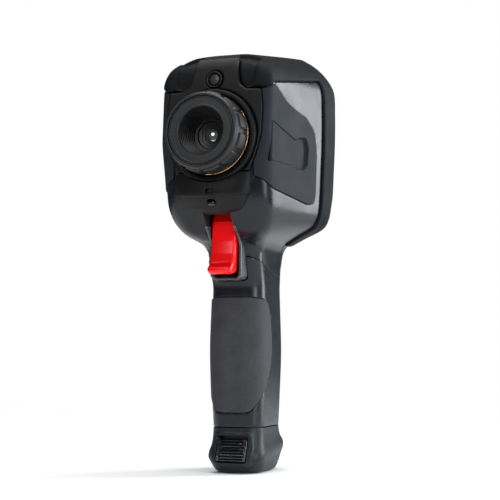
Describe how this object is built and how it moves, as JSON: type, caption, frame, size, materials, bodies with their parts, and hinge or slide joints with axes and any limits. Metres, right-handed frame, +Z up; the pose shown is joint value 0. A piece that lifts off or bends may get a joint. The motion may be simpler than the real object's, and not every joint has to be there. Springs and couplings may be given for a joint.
{
  "type": "thermal imaging camera",
  "caption": "Pistol-grip thermal imaging camera with a red trigger, a focusing lens, a rear display with keys, a side port door and a slide-out battery foot.",
  "frame": {"origin": "centre of the flat face that the foot stands on, on the grip's axis", "axes": "+Z up the grip to the head, -Y the way the lens looks, +Y towards the user at the display, +X the user's left"},
  "size_m": [0.11, 0.1087, 0.2739],
  "materials": {
    "rubber": "fine matte",
    "gloss_shell": "satin gloss",
    "matte_cover": "matte",
    "side_grip": "fine matte grain",
    "trigger_red": "gloss",
    "accent_gold": "bright anodised",
    "lens_black": "black anodised",
    "germanium": "coated",
    "glass": "clear over black",
    "steel": "satin",
    "inner_plastic": "matte",
    "circuit_board": "satin",
    "key_grey": "matte",
    "battery_wrap": "satin",
    "latch_black": "gloss"
  },
  "bodies": {
    "housing": {"battery_contacts": "steel", "bumper": "rubber", "camera_bezel": "gloss_shell", "camera_module": "inner_plastic", "camera_window": "glass", "chin_cover": "matte_cover", "detector_module": "inner_plastic", "display_glass": "glass", "display_module": "inner_plastic", "front_cover": "matte_cover", "gold_ring": "accent_gold", "handle_front_shell": "gloss_shell", "handle_grip": "rubber", "head_front_shell": "gloss_shell", "key_board": "circuit_board", "lamp_lens": "glass", "laser_module": "inner_plastic", "lens_collar": "matte_cover", "lens_mount": "lens_black", "main_board": "circuit_board", "port_bay": "inner_plastic", "port_sockets": "steel", "rear_shell": "gloss_shell", "screw_lower_left": "steel", "screw_lower_right": "steel", "screw_upper_left": "steel", "screw_upper_right": "steel", "shutter_motor": "steel", "side_panel_left": "side_grip", "side_panel_right": "side_grip", "speaker": "inner_plastic", "trigger_bezel": "gloss_shell", "trigger_pin": "steel", "trigger_switch": "inner_plastic"},
    "focus_ring": {"focus_ring": "lens_black"},
    "lens_cell": {"lens_cell": "lens_black", "front_element": "germanium", "rear_element": "germanium"},
    "shutter": {"shutter_blade": "inner_plastic"},
    "trigger": {"trigger": "trigger_red"},
    "port_cover": {"port_cover": "side_grip"},
    "battery": {"foot_cap": "latch_black", "battery_pack": "battery_wrap"},
    "latch": {"latch_button": "latch_black"},
    "key_up": {"key_up": "key_grey"},
    "key_down": {"key_down": "key_grey"},
    "key_left": {"key_left": "key_grey"},
    "key_right": {"key_right": "key_grey"},
    "key_ok": {"key_ok": "key_grey"},
    "key_back": {"key_back": "key_grey"},
    "key_gallery": {"key_gallery": "key_grey"},
    "key_power": {"key_power": "key_grey"}
  },
  "joints": [
    {"name": "focus_spin", "type": "hinge", "parent": "housing", "child": "focus_ring", "pos_m": [0, -0.056, 0.214], "axis": [0, -0.9969, 0.0785], "range_deg": [-80, 80]},
    {"name": "lens_travel", "type": "slide", "parent": "housing", "child": "lens_cell", "axis": [0, -0.9969, 0.0785], "range_m": [-0.0012, 0.0012]},
    {"name": "shutter_swing", "type": "hinge", "parent": "housing", "child": "shutter", "pos_m": [0.016, -0.03447, 0.2123], "axis": [0, -0.9969, 0.0785], "range_deg": [0, 40]},
    {"name": "trigger_pull", "type": "hinge", "parent": "housing", "child": "trigger", "pos_m": [0, -0.031, 0.16], "axis": [1, 0, 0], "range_deg": [0, 8], "stiffness_Nm_per_rad": 0.5, "springref_deg": -14.32},
    {"name": "port_cover_hinge", "type": "hinge", "parent": "housing", "child": "port_cover", "pos_m": [0.0371, -0.049, 0.214], "axis": [0, -0.0785, -0.9969], "range_deg": [0, 95]},
    {"name": "battery_slide", "type": "slide", "parent": "housing", "child": "battery", "axis": [0, 0, -1], "range_m": [0, 0.11]},
    {"name": "latch_slide", "type": "slide", "parent": "battery", "child": "latch", "axis": [0, 0, 1], "range_m": [0, 0.0018], "stiffness_N_per_m": 400, "springref_m": -0.002},
    {"name": "key_up_press", "type": "slide", "parent": "housing", "child": "key_up", "axis": [0, -0.9969, 0.0785], "range_m": [0, 0.0008], "stiffness_N_per_m": 500, "springref_m": -0.001},
    {"name": "key_down_press", "type": "slide", "parent": "housing", "child": "key_down", "axis": [0, -0.9969, 0.0785], "range_m": [0, 0.0008], "stiffness_N_per_m": 500, "springref_m": -0.001},
    {"name": "key_left_press", "type": "slide", "parent": "housing", "child": "key_left", "axis": [0, -0.9969, 0.0785], "range_m": [0, 0.0008], "stiffness_N_per_m": 500, "springref_m": -0.001},
    {"name": "key_right_press", "type": "slide", "parent": "housing", "child": "key_right", "axis": [0, -0.9969, 0.0785], "range_m": [0, 0.0008], "stiffness_N_per_m": 500, "springref_m": -0.001},
    {"name": "key_ok_press", "type": "slide", "parent": "housing", "child": "key_ok", "axis": [0, -0.9969, 0.0785], "range_m": [0, 0.0008], "stiffness_N_per_m": 500, "springref_m": -0.001},
    {"name": "key_back_press", "type": "slide", "parent": "housing", "child": "key_back", "axis": [0, -0.9969, 0.0785], "range_m": [0, 0.0008], "stiffness_N_per_m": 500, "springref_m": -0.001},
    {"name": "key_gallery_press", "type": "slide", "parent": "housing", "child": "key_gallery", "axis": [0, -0.9969, 0.0785], "range_m": [0, 0.0008], "stiffness_N_per_m": 500, "springref_m": -0.001},
    {"name": "key_power_press", "type": "slide", "parent": "housing", "child": "key_power", "axis": [0, -0.9969, 0.0785], "range_m": [0, 0.0008], "stiffness_N_per_m": 500, "springref_m": -0.001}
  ],
  "couplings": [
    {"joint": "lens_travel", "follows": "focus_spin", "m_per_rad": 0.0008}
  ]
}
